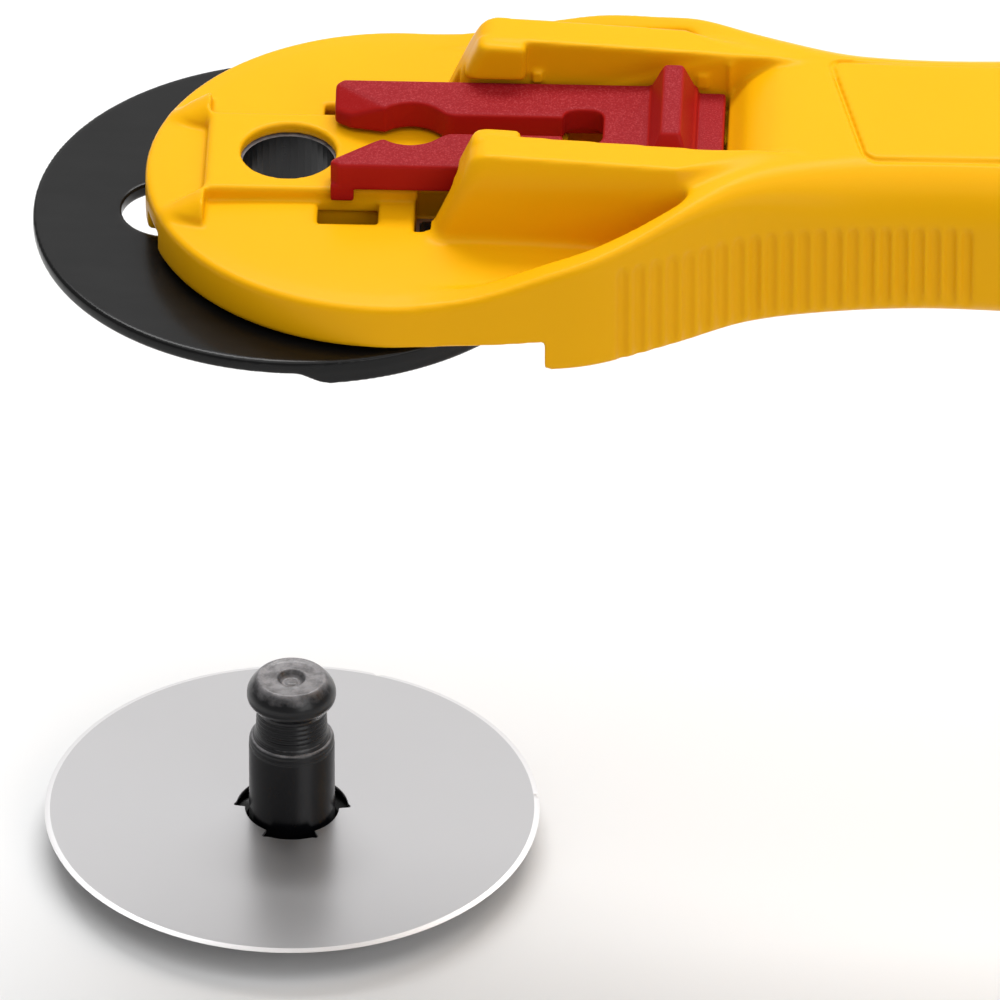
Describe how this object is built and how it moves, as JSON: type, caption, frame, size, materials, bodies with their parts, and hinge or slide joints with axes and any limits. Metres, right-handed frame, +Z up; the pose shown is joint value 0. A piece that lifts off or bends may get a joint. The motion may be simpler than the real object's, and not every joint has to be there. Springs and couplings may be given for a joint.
{
  "type": "rotary cutter",
  "caption": "Straight-handled rotary fabric cutter with a round blade, sliding guard and quick-release lock slider, blade and pin dropped out.",
  "frame": {"origin": "middle of the hand grip, about 100 mm behind the blade pin's axis; the head, blade and pin are ahead of it towards -X", "axes": "+X along the handle away from the head, +Y across the handle, +Z up out of the face with the lock slider"},
  "size_m": [0.1799, 0.0482, 0.0827],
  "materials": {
    "yellow_plastic": "glossy moulded plastic, warm yellow",
    "red_plastic": "red plastic, fine spark-eroded grain on top, smooth sides",
    "black_plastic": "satin black plastic",
    "black_pin": "black coated steel, semi-gloss, worn on top",
    "blade_steel": "fine ground tool steel with a bright ground edge",
    "spring_steel": "satin steel"
  },
  "bodies": {
    "handle": {"handle_body": "yellow_plastic", "handle_base_cover": "yellow_plastic", "cover_screw_1": "spring_steel", "cover_screw_2": "spring_steel", "cover_screw_3": "spring_steel", "cover_screw_4": "spring_steel", "pin_bushing": "black_pin", "lock_detent_leaf": "spring_steel", "lock_leaf_rivet": "spring_steel", "guard_detent_leaf": "spring_steel", "guard_leaf_rivet": "spring_steel"},
    "lock": {"lock_slider": "red_plastic"},
    "guard": {"guard_plate": "black_plastic", "guard_clip_left": "spring_steel", "guard_clip_right": "spring_steel"},
    "pin": {"pin_stud": "black_pin", "pin_base_cap": "black_plastic", "blade_washer": "spring_steel"},
    "blade": {"blade": "blade_steel"}
  },
  "joints": [
    {"name": "lock_slide", "type": "slide", "parent": "handle", "child": "lock", "axis": [1, 0, 0], "range_m": [-0.0109, 0]},
    {"name": "guard_slide", "type": "slide", "parent": "handle", "child": "guard", "axis": [1, 0, 0], "range_m": [0, 0.009]},
    {"name": "pin_lift", "type": "slide", "parent": "handle", "child": "pin", "axis": [0, 0, 1], "range_m": [0, 0.0639]},
    {"name": "blade_spin", "type": "hinge", "parent": "pin", "child": "blade", "pos_m": [-0.1, 0, -0.07035], "axis": [0, 0, 1], "continuous": true}
  ]
}
